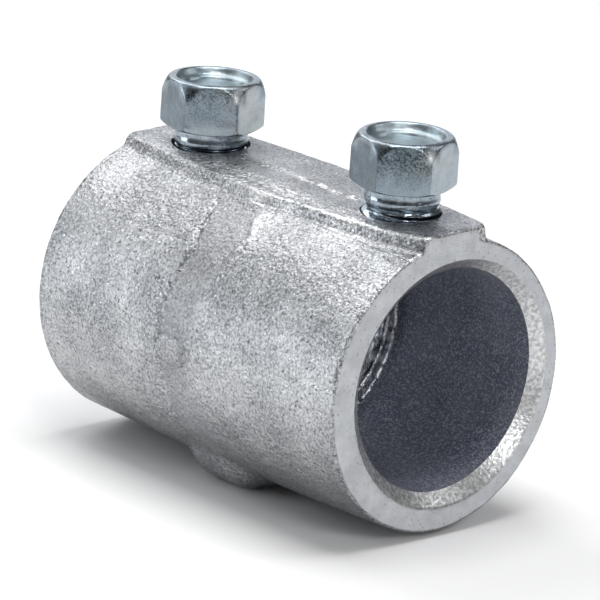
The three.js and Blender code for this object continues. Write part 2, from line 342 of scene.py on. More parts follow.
def pad_marks(points):
    """Masks of the pad: the parting ridge along its top, the groove along its foot, the ledge down
    its sides, the worn stretch of that ledge and the line beside it. The ridge and the line take
    painted highlights, the worn stretch painted light and the ledge painted shade."""
    x, y, z = np.moveaxis(points, -1, 0)
    top, front = z > 0, y < 0
    spine = y + PARTING_PLACE - 0.7 * smooth_step(4, -6, x)
    spine = spine + 0.6 * lattice_noise(points, 1.3, seed=3)
    parting = bell(spine, 0, PARTING_WIDTH + 0.25 * smooth_step(4, -4, x)) * top
    parting *= np.clip(0.85 + 0.7 * lattice_noise(points, 0.9, seed=5), 0.25, 1.4)
    parting *= smooth_step(-9, -6, x) * smooth_step(13, 9, x)

    off_pad = pad_field(x, y, z) - np.hypot(y, z) + barrel_radius(x)
    groove = bell(off_pad, 0, GROOVE_WIDTH)
    groove *= smooth_step(-0.6, 0.3, lattice_noise(points, 0.9, seed=6))

    past_side = np.abs(y) - pad_half_width(x, y)
    ledge = smooth_step(-0.4, -0.12, past_side) * smooth_step(0.25, -0.1, off_pad) * top
    line = bell(past_side, *RIM_LINE) * top * front * smooth_step(-8, -5, x)
    worn_and_lit = ledge * front * smooth_step(-1.5, 0.5, x) * smooth_step(7.6, 6.4, x)
    ledge *= 0.55 * smooth_step(-4, -7, x) + smooth_step(6.4, 7.6, x)
    return parting, groove, ledge, worn_and_lit, line


def surface_detail(x, turn, radius):
    """How far the rough skin stands off the plain shape, and the skin's masks."""
    y, z = radius * np.sin(turn), radius * np.cos(turn)
    points = np.stack([x, y, z], axis=-1)
    wander = SEAM_WANDER * lattice_noise(points, 2.1, seed=3)
    height = np.degrees(np.arctan2(z, np.abs(y)))
    seam, crack, dull, ridge = seam_marks(x, height, wander)
    plaque, moat = plaque_marks(points, wander)
    parting, groove, ledge, worn_and_lit, line = pad_marks(points)

    rough = sum(depth * lattice_noise(points, size, seed) for depth, size, seed in SKIN_NOISE)
    flank = smooth_step(0.6, 1.6, np.abs(y)) * (height < PAD_SIDE_HEIGHT)
    rough *= (1 - 0.75 * plaque - 0.3 * (1 - flank) * (1 - plaque)) * (1 - 0.8 * worn_and_lit)
    detail = rough + seam * (1 - plaque) + PLAQUE_HEIGHT * plaque + PARTING_HEIGHT * parting
    detail -= GROOVE_DEPTH * groove + MOAT_DEPTH * moat
    calm = smooth_step(HALF_LENGTH, HALF_LENGTH - 0.5, np.abs(x))

    nicks = smooth_step(-0.2, 0.5, lattice_noise(points, 0.7, seed=8))
    nicks *= smooth_step(0.45, 0.0, HALF_LENGTH - np.abs(x) - RIM_ROUND)
    pad_front = (height > PAD_SIDE_HEIGHT) * smooth_step(-0.3, -1.0, y) * smooth_step(-6, 0, x)
    broken = np.clip(0.55 + 0.9 * lattice_noise(points, 0.6, seed=9), 0, 1)
    ridge = ridge * smooth_step(36, 48, height) * broken
    masks = [
        dull * (1 - 0.5 * plaque),
        largest(0.75 * plaque, worn_and_lit, 0.6 * pad_front),
        # Painted shade in the seam's crack, down the pad's ledge and in the plaque's moat, and dark
        # nicks of wear at the rims
        largest(crack * (1 - plaque), 0.5 * ledge + 0.1 * worn_and_lit, 0.55 * moat, 0.6 * nicks),
        # Painted highlights on the parting ridge, the line by the pad's front side, the seam's
        # ridge and the worn ledge
        largest(np.minimum(0.7 * parting, 0.8), 0.55 * line, ridge, 0.45 * worn_and_lit),
    ]
    return detail * (0.45 + 0.55 * calm), np.stack(masks, axis=-1)


def largest(*values):
    return np.maximum.reduce(values)


def core_profile():
    """Radius and place along X of the machined and cast inside, from the near mouth to
    mid-length."""
    deep = HALF_LENGTH - LEAD_IN_DEPTH
    socket_end = STOP_FACE + STOP_FILLET
    points = []
    for i in range(CHAMFER_STEPS + 1):
        share = i / CHAMFER_STEPS
        radius = LEAD_IN_RADIUS + (SOCKET_RADIUS - LEAD_IN_RADIUS) * share
        points.append((radius, HALF_LENGTH - LEAD_IN_DEPTH * share))
    for i in range(1, SOCKET_STEPS + 1):
        points.append((SOCKET_RADIUS, deep + (socket_end - deep) * i / SOCKET_STEPS))
    for i in range(1, FILLET_STEPS + 1):
        angle = TAU / 4 * i / FILLET_STEPS
        radius = SOCKET_RADIUS - STOP_FILLET * (1 - math.cos(angle))
        points.append((radius, socket_end - STOP_FILLET * math.sin(angle)))
    for i in range(FILLET_STEPS + 1):
        angle = TAU / 4 * i / FILLET_STEPS
        radius = STOP_RADIUS + STOP_FILLET * (1 - math.sin(angle))
        points.append((radius, STOP_FACE - STOP_FILLET * (1 - math.cos(angle))))
    return points


def column_angles():
    """Angles round the barrel's axis, measured from the top, crowded where the pad's sides
    stand."""
    fine = np.linspace(0, TAU, 4001)
    from_top = np.degrees(np.arccos(np.cos(fine)))
    crowd = 1 + LEDGE_CROWDING * np.exp(-(((from_top - LEDGE_ANGLE) / LEDGE_SPREAD) ** 4))
    share = np.concatenate([[0], np.cumsum((crowd[1:] + crowd[:-1]) / 2)])
    return np.interp(np.arange(AROUND) / AROUND, share / share[-1], fine)


def casting_rows():
    """Rows of points round the casting, from the far end outside to the near end and back through
    the bore, with the material number of the strip that follows each row and the skin's masks."""
    turn = column_angles()
    rows, strips, masks = [], [], []

    def add(x, y, z, strip, mask=(0.0,) * len(MASKS)):
        rows.append(np.stack(np.broadcast_arrays(x, y, z), axis=-1) * np.ones((AROUND, 1)))
        strips.append(strip)
        masks.append(np.broadcast_to(mask, (AROUND, len(MASKS))))

    def add_rim(side, steps):
        """Rings that round off the corner between the barrel and an end face."""
        last = -1 if side > 0 else 0
        for i in steps:
            bend = TAU / 4 * i / (RIM_RINGS + 1)
            out = radius[last] - RIM_ROUND * (1 - math.cos(bend))
            x = side * (reach + RIM_ROUND * math.sin(bend))
            add(x, out * np.sin(turn), out * np.cos(turn), CAST, mask[last])

    def end_radius(x):
        stations = np.full(AROUND, x)
        radius = casting_radius(stations, turn)
        return radius + surface_detail(stations, turn, radius)[0]

    def end_face(side):
        """Rings of an end face, from just inside its rim to the mouth of the socket."""
        outer = end_radius(side * HALF_LENGTH) - RIM_ROUND
        circle = [EDGE_NOISE_RADIUS * np.sin(turn), EDGE_NOISE_RADIUS * np.cos(turn)]
        edge = np.stack([np.full(AROUND, side), *circle], axis=-1)
        outer = outer + EDGE_WOBBLE * lattice_noise(edge, 0.8, seed=21)
        rings = []
        for i in range(FACE_RINGS):
            share = i / FACE_RINGS
            across = (1 - share) * outer + share * LEAD_IN_RADIUS
            y = across * np.sin(turn) + share * MOUTH_SHIFT[0]
            z = across * np.cos(turn) + share * MOUTH_SHIFT[1]
            rings.append((side * HALF_LENGTH, y, z))
        return rings

    reach = HALF_LENGTH - RIM_ROUND
    spread = np.linspace(-SEAM_CROWDING, SEAM_CROWDING, ALONG)
    stations = reach * np.sinh(spread) / math.sinh(SEAM_CROWDING)
    station, angle = np.meshgrid(stations, turn, indexing="ij")
    plain = casting_radius(station, angle)
    detail, mask = surface_detail(station, angle, plain)
    radius = plain + detail
    height = np.maximum(radius * np.cos(turn), -AXIS_HEIGHT)
    for i in range(ALONG):
        add(station[i], radius[i] * np.sin(turn), height[i], CAST, mask[i])
    add_rim(1, range(1, RIM_RINGS + 1))
    for ring in end_face(1):
        add(*ring, FACE)

    near = core_profile()
    deep = HALF_LENGTH - LEAD_IN_DEPTH
    for r, x in near + [(r, -x) for r, x in reversed(near)]:
        if x > deep + SLIVER or x < SLIVER - deep:
            strip = MOUTH
        else:
            strip = STOP if abs(x) < STOP_FACE + STOP_FILLET - SLIVER else BORE
        into = min((HALF_LENGTH - abs(x)) / LEAD_IN_DEPTH, 1)
        across, up = ((1 - into) * m + into * b for m, b in zip(MOUTH_SHIFT, BORE_SHIFT))
        add(x, r * np.sin(turn) + across, r * np.cos(turn) + up, strip)
    strips[-1] = FACE
    for ring in reversed(end_face(-1)):
        add(*ring, FACE)
    strips[-1] = CAST
    add_rim(-1, range(RIM_RINGS, 0, -1))
    return np.array(rows), strips, np.array(masks)


# ---------------------------------------------------------------- meshes


def mesh_object(name, points, faces, materials, face_materials):
    """A smooth-shaded object from points in millimetres round the barrel's axis."""
    mesh = bpy.data.meshes.new(name)
    lifted = (points + (0, 0, AXIS_HEIGHT)) * MM
    mesh.from_pydata(lifted.tolist(), [], faces)
    for material in materials:
        mesh.materials.append(material)
    mesh.polygons.foreach_set("material_index", np.asarray(face_materials, dtype=np.int32))
    mesh.polygons.foreach_set("use_smooth", np.ones(len(faces), dtype=bool))
    mesh.update()
    obj = bpy.data.objects.new(name, mesh)
    bpy.context.scene.collection.objects.link(obj)
    return obj


def paint(obj, name, values):
    """Stores a value for each point, which the material reads by name."""
    layer = obj.data.attributes.new(name, "FLOAT", "POINT")
    layer.data.foreach_set("value", values.reshape(-1).astype(np.float32))


def ring_faces(rows, columns, closed):
    """Quads between neighbouring rows of a grid that closes on itself round its columns."""
    faces = []
    for i in range(rows if closed else rows - 1):
        here, above = i * columns, (i + 1) % rows * columns
        for j in range(columns):
            beside = (j + 1) % columns
            faces.append((here + j, above + j, above + beside, here + beside))
    return faces


def casting(materials):
    rows, strips, masks = casting_rows()
    faces = ring_faces(len(rows), AROUND, closed=True)
    numbers = np.repeat(strips, AROUND)
    body = mesh_object("cast_body", rows.reshape(-1, 3), faces, materials, numbers)
    for i, name in enumerate(MASKS):
        paint(body, name, masks[..., i])
    for side in (-1, 1):
        cut_hole(body, side * SCREW_REACH, materials)
    body.data.set_sharp_from_angle(angle=SHARP_ANGLE)
    return body


def cut_hole(body, x, materials):
    """Cuts a tapped hole through the wall, and gives its side the tapped material."""
    turn = np.arange(HOLE_COLUMNS) * TAU / HOLE_COLUMNS
    circle = np.stack([x + HOLE_RADIUS * np.cos(turn), HOLE_RADIUS * np.sin(turn)], axis=-1)
    rings = [np.column_stack([circle, np.full(HOLE_COLUMNS, z)]) for z in HOLE_CUT]
    faces = [tuple(reversed(f)) for f in ring_faces(2, HOLE_COLUMNS, closed=False)]
    faces.append(tuple(reversed(range(HOLE_COLUMNS))))
    faces.append(tuple(range(HOLE_COLUMNS, 2 * HOLE_COLUMNS)))
    numbers = [TAPPED] * len(faces)
    cutter = mesh_object("hole_cutter", np.concatenate(rings), faces, materials, numbers)
    cut = body.modifiers.new("hole", "BOOLEAN")
    cut.operation = "DIFFERENCE"
    cut.object = cutter
    cut.solver = "MANIFOLD"
    with bpy.context.temp_override(object=body, active_object=body):
        bpy.ops.object.modifier_apply(modifier=cut.name)
    mesh = cutter.data
    bpy.data.objects.remove(cutter)
    bpy.data.meshes.remove(mesh)


# ---------------------------------------------------------------- screws


def hex_radius(turn):
    """Distance from the screw's axis to its hexagon, with the corners just broken."""
    sector = TAU / 6
    offset = np.mod(turn + sector / 2, sector) - sector / 2
    near_flat, next_flat = np.cos(offset), np.cos(sector - np.abs(offset))
    return ACROSS_FLATS / 2 / -smooth_min(-near_flat, -next_flat, HEX_CORNER_BREAK)


def thread_radius(turn, drop):
    """Radius of a right-hand thread at a depth below the first turn."""
    phase = np.mod(drop / THREAD_PITCH - turn / TAU, 1)
    depth = np.abs(phase - 0.5) * 2  # 1 on the crest
    share = smooth_step(0.12, 0.86, depth)
    full = THREAD_ROOT_RADIUS + (THREAD_RADIUS - THREAD_ROOT_RADIUS) * share
    run_in = smooth_step(0, 0.5, drop)
    return THREAD_RADIUS * (1 - run_in) * THREAD_RUN_IN + full * run_in


def screw_rows():
    """Rows of points round a screw with the top of its head at height 0, from the recess floor's
    middle out, down the head and the shank, to the tip, and each row's material number."""
    edge = np.sin(np.linspace(-1, 1, SCREW_SECTOR + 1)[:-1] * TAU / 4) / 2
    turn = (np.arange(6)[:, None] + 0.5 + edge[None, :]).reshape(-1) * TAU / 6 + TAU / 12
    hexagon = hex_radius(turn)
    corner = ACROSS_FLATS / math.sqrt(3)
    rows, parts = [], []

    def add(radius, z, part):
        radius, z = np.broadcast_arrays(radius, z)
        ring = np.stack([radius * np.cos(turn), radius * np.sin(turn)], axis=-1)
        rows.append(np.column_stack([ring, z * np.ones(len(turn))]))
        parts.append(part)

    def crown(radius):
        """Height of the crowned top, which falls away towards the corners."""
        share = np.clip((radius - HEAD_TOP_RADIUS) / (corner - HEAD_TOP_RADIUS), 0, 1)
        return -CROWN_DEPTH * share**CROWN_CURVE

    for share in (0.02, 0.2, 0.4, 0.6, 0.8, 0.95):
        add(RECESS_FLOOR_RADIUS * share, -RECESS_DEPTH, RECESS)
    add(RECESS_FLOOR_RADIUS + 0.02, -RECESS_DEPTH + 0.02, RECESS)
    add(RECESS_FLOOR_RADIUS + 0.18, -RECESS_LEDGE_DEPTH - 0.12, RECESS)
    add(RECESS_FLOOR_RADIUS + 0.32, -RECESS_LEDGE_DEPTH, RECESS)
    add(RECESS_LEDGE_RADIUS, -RECESS_LEDGE_DEPTH + 0.03, RECESS)
    add(RECESS_LEDGE_RADIUS + 0.22, -RECESS_LEDGE_DEPTH + 0.16, RECESS)
    add(RECESS_RADIUS - RECESS_DRAFT, -0.35, RECESS)
    add(RECESS_RADIUS - 0.08, -0.1, PLATED)
    add(RECESS_RADIUS + 0.02, -0.02, PLATED)
    add(RECESS_RADIUS + 0.12, 0.0, PLATED)
    inner = RECESS_RADIUS + 0.24
    for share in (0.0, 0.5, 1.0):
        add(inner + (HEAD_TOP_RADIUS - inner) * share, -0.03 * share, PLATED)
    for share in (0.12, 0.25, 0.38, 0.52, 0.66, 0.8, 0.91):
        radius = HEAD_TOP_RADIUS + (hexagon - HEAD_TOP_RADIUS) * share
        add(radius, crown(radius) - 0.03, PLATED)
    top = crown(hexagon)
    add(hexagon - 0.02, top - 0.03, PLATED)
    add(hexagon, top - 0.12, PLATED)
    rise = np.clip((hexagon - HEAD_FOOT_RADIUS) / (corner - HEAD_FOOT_RADIUS), 0, 1)
    foot = -HEAD_HEIGHT + 0.12 + HEAD_FOOT_RISE * rise**1.5
    for share in (0.1, 0.25, 0.4, 0.55, 0.7, 0.85, 0.95):
        add(hexagon, (top - 0.12) + (foot - top + 0.12) * share, PLATED)
    add(hexagon - 0.02, foot - 0.03, PLATED)
    for share in (0.75, 0.5, 0.25):
        radius = HEAD_FOOT_RADIUS - 0.2 + (hexagon - HEAD_FOOT_RADIUS + 0.2) * share
        add(radius, foot + (-HEAD_HEIGHT - foot) * (1 - share**2) - 0.02, PLATED)
    add(5.1, -HEAD_HEIGHT, PLATED)
    add(NECK_RADIUS + 0.2, -HEAD_HEIGHT - 0.02, PLATED)
    add(NECK_RADIUS - 0.02, -HEAD_HEIGHT - 0.14, PLATED)
    for share in (0.15, 0.3, 0.45, 0.55, 0.65, 0.75, 0.85, 0.94):
        bulge = NECK_BULGE * bell(share, 0.72, 0.2)
        add(NECK_RADIUS - 0.04 + bulge, -HEAD_HEIGHT - NECK_LENGTH * share, NECK)
    neck_end = -HEAD_HEIGHT - NECK_LENGTH
    add(NECK_RADIUS - 0.1, neck_end - 0.05, NECK)
    add(NECK_RADIUS - 0.34, neck_end - 0.22, NECK)
    thread_start = neck_end - 0.36
    thread_end = -HEAD_HEIGHT - SHANK_LENGTH
    shank = thread_start - thread_end
    for i in range(THREAD_STEPS + 1):
        drop = shank * i / THREAD_STEPS
        chamfer = np.clip(drop - shank + TIP_CHAMFER, 0, TIP_CHAMFER)
        limit = THREAD_RADIUS - TIP_SLOPE * chamfer
        add(np.minimum(thread_radius(turn, drop), limit), thread_start - drop, NECK)
    for share in (0.9, 0.6, 0.3, 0.02):
        add((THREAD_RADIUS - TIP_SLOPE * TIP_CHAMFER) * share, thread_end, NECK)
    return np.array(rows), parts


# Painted reflections on a head's flats: 1 is plain, lower is painted shade and up to 2 is painted
# highlight. Each flat has one at its top and one at its bottom, from the flat that faces the camera
# round to the right.
NEAR_PAINTED_REFLECTIONS = ((0.34, 0.95), (1.22, 1.15), (0.8, 0.9), (0.7, 0.9), (0.9, 0.8), (0.5, 0.55))
FAR_PAINTED_REFLECTIONS = ((0.72, 1.1), (1.22, 1.15), (0.85, 0.8), (0.75, 0.9), (0.9, 0.8), (0.55, 0.55))
# Painted highlights and shade on the crowned corners, by their angle from the middle of the front
# flat in degrees
SPANDREL_ANGLES = (-180, -45, -38, -30, -22, -12, 12, 19, 23, 28, 34, 40, 50, 180)
SPANDREL_PAINTED_LIGHT = (1.0, 1.0, 0.9, 0.35, 0.3, 1.0, 1.0, 0.45, 0.8, 1.9, 1.4, 0.5, 1.0, 1.0)
SPANDREL_DEPTH = 2.35
FLAT_GRAIN = (1.7, 0.5, 0.5, 0.5, 0.5, 0.5)  # how grained the plating is, flat by flat


def plating_marks(points, painted_reflections):
    """The painted reflection at each point, with its painted shade and highlights, and how grained
    the plating is.
    """
    x, y, z = points.T
    across, angle = np.hypot(x, y), np.arctan2(y, x)
    sector = np.round(angle / (TAU / 6)).astype(int) % 6
    upper, lower = np.array(painted_reflections)[sector].T
    down = smooth_step(-1.2, -HEAD_HEIGHT + 0.4, z)
    on_flat = smooth_step(-0.1, -0.9, z) * smooth_step(-HEAD_HEIGHT - 0.1, -HEAD_HEIGHT + 0.3, z)
    on_flat = on_flat * (across > HEAD_TOP_RADIUS)
    painted_reflection = 1 + on_flat * (upper + (lower - upper) * down - 1)
    on_crown = (across > HEAD_TOP_RADIUS + 0.05) * smooth_step(-SPANDREL_DEPTH, -1.6, z)
    spandrel = np.interp(np.degrees(angle), SPANDREL_ANGLES, SPANDREL_PAINTED_LIGHT)
    proud = smooth_step(ACROSS_FLATS / 2 + 0.12, ACROSS_FLATS / 2 + 0.3, across)
    grained = np.array(FLAT_GRAIN)[sector] * smooth_step(-HEAD_HEIGHT, -1.5, z) ** 0.5
    return painted_reflection + on_crown * proud * (spandrel - painted_reflection), grained


def set_screw(name, x, top, lean, painted_reflections, materials):
    """A screw with the top of its head at a height over the barrel's axis, leaning a little."""
    rows, parts = screw_rows()
    count, columns = rows.shape[:2]
    points = rows.reshape(-1, 3)
    painted_reflection, grained = plating_marks(points, painted_reflections)
    dents = 0.02 * lattice_noise(points, 2.6, seed=31) + 0.008 * lattice_noise(points, 0.9, seed=32)
    outward = points * (1, 1, 0)
    outward /= np.maximum(np.linalg.norm(outward, axis=1, keepdims=True), SLIVER)
    points = points + outward * dents[:, None]
    spin = Matrix.Rotation(FLAT_TURN, 3, "Z")
    points = points @ np.array(spin).T
    tilt = Matrix.Rotation(lean, 3, Vector((-math.sin(FLAT_TURN), math.cos(FLAT_TURN), 0)))
    pivot = np.array((0, 0, -HEAD_HEIGHT - NECK_LENGTH))
    points = (points - pivot) @ np.array(tilt).T + pivot
    faces = [tuple(reversed(f)) for f in ring_faces(count, columns, closed=False)]
    numbers = np.repeat(parts[:-1], columns).tolist()
    faces.append(tuple(range(columns)))
    faces.append(tuple(reversed(range((count - 1) * columns, count * columns))))
    numbers += [parts[0], parts[-1]]
    screw = mesh_object(name, points + (x, 0, top), faces, materials, numbers)
    paint(screw, "painted_reflection", painted_reflection)
    paint(screw, "grained", grained)
    screw.data.set_sharp_from_angle(angle=SHARP_ANGLE)
    return screw


# ---------------------------------------------------------------- materials


class Nodes:
    """A short way to write a material's node tree."""

    def __init__(self, name):
        self.material = bpy.data.materials.new(name)
        self.material.use_nodes = True
        self.tree = self.material.node_tree
        self.shader = self.tree.nodes["Principled BSDF"]
        place = self.tree.nodes.new("ShaderNodeTexCoord")
        self.place = place.outputs["Object"]

    def link(self, source, target):
        if isinstance(source, (int, float)):
            target.default_value = source
        else:
            self.tree.links.new(source, target)

    def turned(self, degrees, scale):
        """Object coordinates turned about each axis, then stretched by a scale per axis."""
        node = self.tree.nodes.new("ShaderNodeMapping")
        node.inputs["Rotation"].default_value = [math.radians(angle) for angle in degrees]
        node.inputs["Scale"].default_value = scale
        self.link(self.place, node.inputs["Vector"])
        return node.outputs["Vector"]

    def noise(self, per_mm, detail=3.0, rough=0.55, distortion=0.0, place=None):
        """Noise from 0 to 1, finer with more features to a millimetre."""
        node = self.tree.nodes.new("ShaderNodeTexNoise")
        node.inputs["Scale"].default_value = per_mm / MM
        node.inputs["Detail"].default_value = detail
        node.inputs["Roughness"].default_value = rough
        node.inputs["Distortion"].default_value = distortion
        self.link(place or self.place, node.inputs["Vector"])
        return node.outputs["Fac"]

    def ramp(self, value, low, high, start=0.0, end=1.0):
        """A value stretched from between low and high to between start and end, and clamped."""
        node = self.tree.nodes.new("ShaderNodeMapRange")
        node.inputs["From Min"].default_value = low
        node.inputs["From Max"].default_value = high
        node.inputs["To Min"].default_value = start
        node.inputs["To Max"].default_value = end
        self.link(value, node.inputs["Value"])
        return node.outputs["Result"]

    def math(self, operation, a, b):
        node = self.tree.nodes.new("ShaderNodeMath")
        node.operation = operation
        self.link(a, node.inputs[0])
        self.link(b, node.inputs[1])
        return node.outputs[0]

    def mix(self, share, a, b):
        """A colour between a and b."""
        node = self.tree.nodes.new("ShaderNodeMix")
        node.data_type = "RGBA"
        self.link(share, node.inputs["Factor"])
        for colour, socket in ((a, node.inputs["A"]), (b, node.inputs["B"])):
            if isinstance(colour, tuple):
                socket.default_value = (*colour, 1)
            else:
                self.link(colour, socket)
        return node.outputs["Result"]

    def specks(self, colour, shade, strength, per_mm, low, high, detail=1.0):
        """The colour, with dots of another shade where a noise is at its lowest."""
        dots = self.ramp(self.noise(per_mm, detail=detail), low, high, 1, 0)
        return self.mix(self.math("MULTIPLY", dots, strength), colour, shade)

    def bump(self, height, distance, under=None):
        """A normal from a height, for a distance in millimetres."""
        node = self.tree.nodes.new("ShaderNodeBump")
        node.inputs["Distance"].default_value = distance * MM
        self.link(height, node.inputs["Height"])
        if under is not None:
            self.link(under, node.inputs["Normal"])
        return node.outputs["Normal"]

    def attribute(self, name):
        node = self.tree.nodes.new("ShaderNodeAttribute")
        node.attribute_name = name
        return node.outputs["Fac"]

    def coordinate(self, axis):
        """Place along one axis of the shared frame, in metres."""
        node = self.tree.nodes.new("ShaderNodeSeparateXYZ")
        self.link(self.place, node.inputs[0])
        return node.outputs[axis]

    def finish(self, colour, roughness, normal=None, metallic=1.0):
        self.link(colour, self.shader.inputs["Base Color"])
        self.link(roughness, self.shader.inputs["Roughness"])
        self.shader.inputs["Metallic"].default_value = metallic
        if normal is not None:
            self.link(normal, self.shader.inputs["Normal"])
        return self.material


def cast_skin():
    """Hot-dip galvanised casting: pebbled, with soft darker patches and small bright facets."""
    n = Nodes("galvanised_casting")
    pebble = n.noise(1.75, detail=3.0, rough=0.6, distortion=0.1)
    grain = n.noise(3.0, detail=2.5, rough=0.75)
    drag = n.noise(2.0, detail=2.0, place=n.turned((0, 32, 12), (0.35, 1.0, 1.0)))
    streak = n.noise(0.9, detail=3.0, place=n.turned((0, 0, 0), (0.45, 1.0, 1.0)))
    patch = n.noise(0.13, detail=2.0)
    seam = n.attribute("seam")

    shade = n.math("ADD", n.ramp(grain, 0.39, 0.61, 0, 0.66), n.ramp(patch, 0.35, 0.65, 0, 0.38))
    colour = n.mix(shade, (0.20, 0.21, 0.225), (0.67, 0.68, 0.697))
    colour = n.specks(colour, (0.10, 0.10, 0.105), 0.75, 2.6, 0.33, 0.39, detail=1.5)
    colour = n.mix(n.math("MULTIPLY", seam, 0.4), colour, (0.27, 0.275, 0.29))
    # Painted shade: greyer towards the underside, apart from the stretch beside the foot
    low = n.ramp(n.coordinate("Z"), 3 * MM, 19 * MM, 0.5, 0)
    near_side = n.ramp(n.coordinate("X"), 0, 8 * MM, 0, 1)
    far_side = n.ramp(n.coordinate("X"), -12 * MM, -5 * MM, 0.6, 0)
    low = n.math("MULTIPLY", low, n.math("MAXIMUM", near_side, far_side))
    colour = n.mix(low, colour, (0.12, 0.12, 0.13))
    # Painted highlights along the ridges, the pad's front edge and the worn stretch of its ledge
    crest = n.math("MULTIPLY", n.attribute("bright"), n.ramp(grain, 0.40, 0.56, 0.15, 0.9))
    colour = n.mix(crest, colour, (0.93, 0.94, 0.95))
    # Painted shade in creases, down the pad's ledge and round the plaque, with dark nicks of wear
    # at the rims
    nicks_and_crease_shade = n.math("MULTIPLY", n.attribute("crack"), n.ramp(grain, 0.36, 0.58, 1.4, 0.1))
    colour = n.mix(nicks_and_crease_shade, colour, (0.07, 0.07, 0.075))

    roughness = n.ramp(streak, 0.35, 0.65, 0.31, 0.44)
    roughness = n.math("ADD", roughness, n.math("MULTIPLY", seam, 0.1))
    gleam = n.ramp(n.noise(2.4, detail=2.0), 0.55, 0.68, 0, 0.14)
    roughness = n.math("SUBTRACT", roughness, gleam)

    relief = n.math("ADD", pebble, n.math("MULTIPLY", drag, 0.5))
    rough_share = n.ramp(n.attribute("smooth"), 0, 1, 1, 0.1)
    coarse = n.bump(n.math("MULTIPLY", relief, rough_share), 0.24)
    return n.finish(colour, roughness, n.bump(grain, 0.045, under=coarse))


def sawn_face():
    """End face cut square: matt grey zinc with fine scratches and a few stains."""
    n = Nodes("machined_face")
    mottled = n.noise(0.5, detail=4.0)
    scratch = n.noise(2.4, detail=2.0, place=n.turned((0, 0, 0), (1, 0.35, 2.0)))
    colour = n.mix(n.ramp(mottled, 0.35, 0.7), (0.49, 0.505, 0.53), (0.65, 0.667, 0.695))
    colour = n.specks(colour, (0.2, 0.2, 0.2), 0.6, 2.6, 0.27, 0.33)
    roughness = n.ramp(mottled, 0.3, 0.7, 0.46, 0.6)
    return n.finish(colour, roughness, n.bump(scratch, 0.05), metallic=0.85)


def mouth():
    """Lead-in chamfer: brighter turned metal with a coarse grain, and painted shade at the top."""
    n = Nodes("turned_chamfer")
    grain = n.noise(2.2, detail=3.0)
    colour = n.mix(n.ramp(grain, 0.38, 0.62), (0.44, 0.445, 0.455), (0.78, 0.785, 0.79))
    # Painted shade: darker towards the top of the chamfer
    dull = n.ramp(n.coordinate("Z"), 24 * MM, 33 * MM, 0, 0.45)
    colour = n.mix(dull, colour, (0.16, 0.16, 0.165))
    roughness = n.ramp(n.noise(0.8), 0.3, 0.7, 0.28, 0.4)
    return n.finish(colour, roughness, n.bump(grain, 0.07))


def bore_wall():
    """Inside of the sockets: dark as-cast zinc with a fine speckle."""
    n = Nodes("bore_wall")
    speckle = n.noise(3.7, detail=2.0, rough=0.7)
    cloud = n.noise(0.2, detail=3.0)
    colour = n.mix(n.ramp(cloud, 0.35, 0.65), (0.15, 0.165, 0.215), (0.23, 0.245, 0.30))
    colour = n.mix(n.ramp(speckle, 0.50, 0.61), colour, (0.47, 0.50, 0.58))
    colour = n.specks(colour, (0.07, 0.075, 0.09), 0.6, 4.1, 0.30, 0.42)
    roughness = n.ramp(cloud, 0.3, 0.7, 0.45, 0.6)
    return n.finish(colour, roughness, n.bump(speckle, 0.16), metallic=0.45)


def stop_ring():
    """The stop ring's fillets and crest, smoother and brighter than the sockets."""
    n = Nodes("stop_ring")
    cloud = n.noise(0.5, detail=3.0)
    colour = n.mix(n.ramp(cloud, 0.35, 0.65), (0.12, 0.13, 0.15), (0.62, 0.63, 0.67))
    roughness = n.ramp(cloud, 0.3, 0.7, 0.2, 0.38)
    return n.finish(colour, roughness, n.bump(n.noise(1.2), 0.3))


def tapped_wall():
    """Wall of a tapped hole, with the grain running round it."""
    n = Nodes("tapped_hole")
    grain = n.noise(1.8, detail=2.0, place=n.turned((0, 0, 0), (0.4, 0.4, 2.5)))
    colour = n.mix(n.ramp(grain, 0.3, 0.7), (0.20, 0.20, 0.21), (0.46, 0.46, 0.47))
    return n.finish(colour, n.ramp(grain, 0.3, 0.7, 0.4, 0.6), n.bump(grain, 0.2))


def plated():
    """Clear zinc plate on cold-headed steel: glossy and cool, with frosted and straw-tinted areas,
    and painted reflections, shade and highlights on the head.
    """
    n = Nodes("zinc_plated_screw")
    cloud = n.noise(0.35, detail=3.0, rough=0.6)
    colour = n.mix(n.ramp(cloud, 0.35, 0.65), (0.24, 0.295, 0.34), (0.355, 0.42, 0.475))
    colour = n.specks(colour, (0.10, 0.115, 0.13), 0.45, 4.0, 0.28, 0.36)
    straw = n.ramp(n.noise(0.22, detail=1.0), 0.45, 0.62, 0, 0.3)
    colour = n.mix(straw, colour, (0.36, 0.375, 0.345))
    painted_reflection = n.attribute("painted_reflection")
    speckle = n.ramp(n.noise(4.0, detail=3.0, rough=0.7), 0.38, 0.62, -0.25, 0.25)
    grained = n.math("MULTIPLY", speckle, n.attribute("grained"))
    # Painted shade where the painted reflection is below 1, broken up by the plating's grain
    dark = n.math("ADD", n.ramp(painted_reflection, 0, 1, 1, 0), grained)
    colour = n.mix(dark, colour, (0.03, 0.036, 0.042))
    # Painted highlight where the painted reflection is above 1
    colour = n.mix(n.ramp(painted_reflection, 1, 2), colour, (0.92, 0.94, 0.95))
    roughness = n.ramp(cloud, 0.3, 0.7, 0.22, 0.34)
    wave = n.bump(n.noise(0.45, detail=1.0), 0.18)
    return n.finish(colour, roughness, n.bump(n.noise(6.0, detail=2.0), 0.03, under=wave))


def plated_recess():
    """The sunken top of the head: a little more matt than its flats."""
    n = Nodes("zinc_plated_recess")
    cloud = n.noise(0.5, detail=3.0)
    colour = n.mix(n.ramp(cloud, 0.35, 0.65), (0.26, 0.33, 0.37), (0.42, 0.485, 0.51))
    roughness = n.ramp(cloud, 0.3, 0.7, 0.34, 0.44)
    return n.finish(colour, roughness, n.bump(n.noise(0.7, detail=2.0), 0.12))


